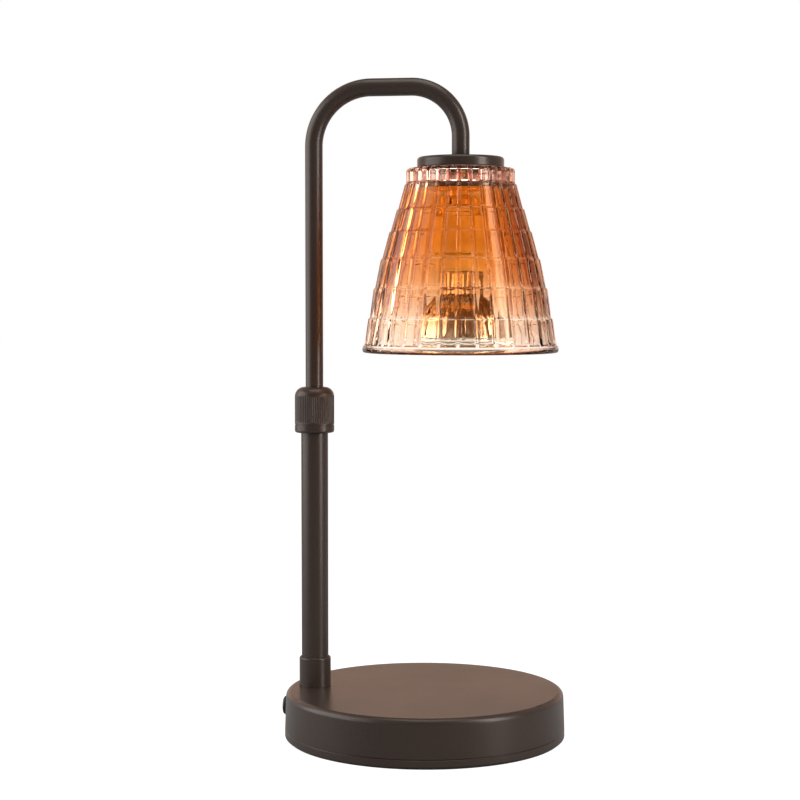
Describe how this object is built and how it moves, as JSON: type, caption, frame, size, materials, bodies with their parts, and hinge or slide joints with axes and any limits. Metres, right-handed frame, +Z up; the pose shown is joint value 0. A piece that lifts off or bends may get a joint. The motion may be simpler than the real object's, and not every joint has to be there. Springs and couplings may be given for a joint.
{
  "type": "candle warmer lamp",
  "caption": "Candle warmer lamp: round weighted base, telescopic post with a clamp knob, bent swing arm and a faceted amber glass shade over a twist-lock reflector bulb.",
  "frame": {"origin": "middle of the base's underside, on the surface that the lamp stands on", "axes": "+Z up; +X from the post towards the shade; +Y completes the right-handed frame, so the shade swings towards it at positive arm_swing"},
  "size_m": [0.1524, 0.15, 0.3516],
  "materials": {
    "powder_coat": "satin dark bronze powder coat",
    "shade_glass": "pressed amber glass fading to clear at the rim",
    "foam": "black EVA pad",
    "silicone": "translucent silicone",
    "iron": "raw cast",
    "steel": "zinc plated",
    "brass": "turned",
    "nylon": "moulded nylon",
    "white_plastic": "moulded polyamide",
    "wire": "silicone sleeving",
    "ceramic": "steatite",
    "reflector": "aluminised bowl",
    "lens": "clear"
  },
  "bodies": {
    "base": {"base_pad": "foam", "base_tray": "powder_coat", "base_shell": "powder_coat", "base_weight": "iron", "shell_pillars": "steel", "base_screws": "steel", "cord_gland": "nylon", "gland_nut": "nylon", "terminal_block": "white_plastic", "base_lead": "wire", "foot_collar": "powder_coat", "post_tube": "powder_coat", "post_plug": "steel", "post_nipple": "steel", "post_washer": "steel", "post_nut": "steel", "collet_seat": "brass"},
    "lock_knob": {"lock_knob": "powder_coat"},
    "grip": {"grip_ring": "nylon", "post_lead": "wire"},
    "arm": {"arm_tube": "powder_coat", "guide_bush": "nylon", "arm_lead": "wire", "drop_washer": "powder_coat", "shade_cap": "powder_coat", "upper_gasket": "silicone", "shade_glass": "shade_glass", "lower_gasket": "silicone", "clamp_disc": "powder_coat", "hanger_nipple": "brass", "disc_nut": "brass", "bracket_nut": "brass", "holder_bracket": "brass", "holder_screws": "steel", "lamp_holder": "ceramic", "holder_contacts": "brass", "holder_leads": "wire"},
    "bulb": {"bulb_pins": "steel", "bulb_neck": "ceramic", "bulb_reflector": "reflector", "bulb_lens": "lens", "bulb_burner": "lens"}
  },
  "joints": [
    {"name": "knob_turn", "type": "hinge", "parent": "base", "child": "lock_knob", "pos_m": [-0.06, 0, 0.175], "axis": [0, 0, 1], "range_deg": [0, 270]},
    {"name": "arm_swing", "type": "hinge", "parent": "base", "child": "grip", "pos_m": [-0.06, 0, 0.18], "axis": [0, 0, 1], "range_deg": [-170, 170]},
    {"name": "height_slide", "type": "slide", "parent": "grip", "child": "arm", "axis": [0, 0, 1], "range_m": [-0.072, 0.024], "deforming": ["post_lead"]},
    {"name": "bulb_twist", "type": "hinge", "parent": "arm", "child": "bulb", "pos_m": [0.019, 0, 0.258], "axis": [0, 0, 1], "range_deg": [0, 20]}
  ]
}
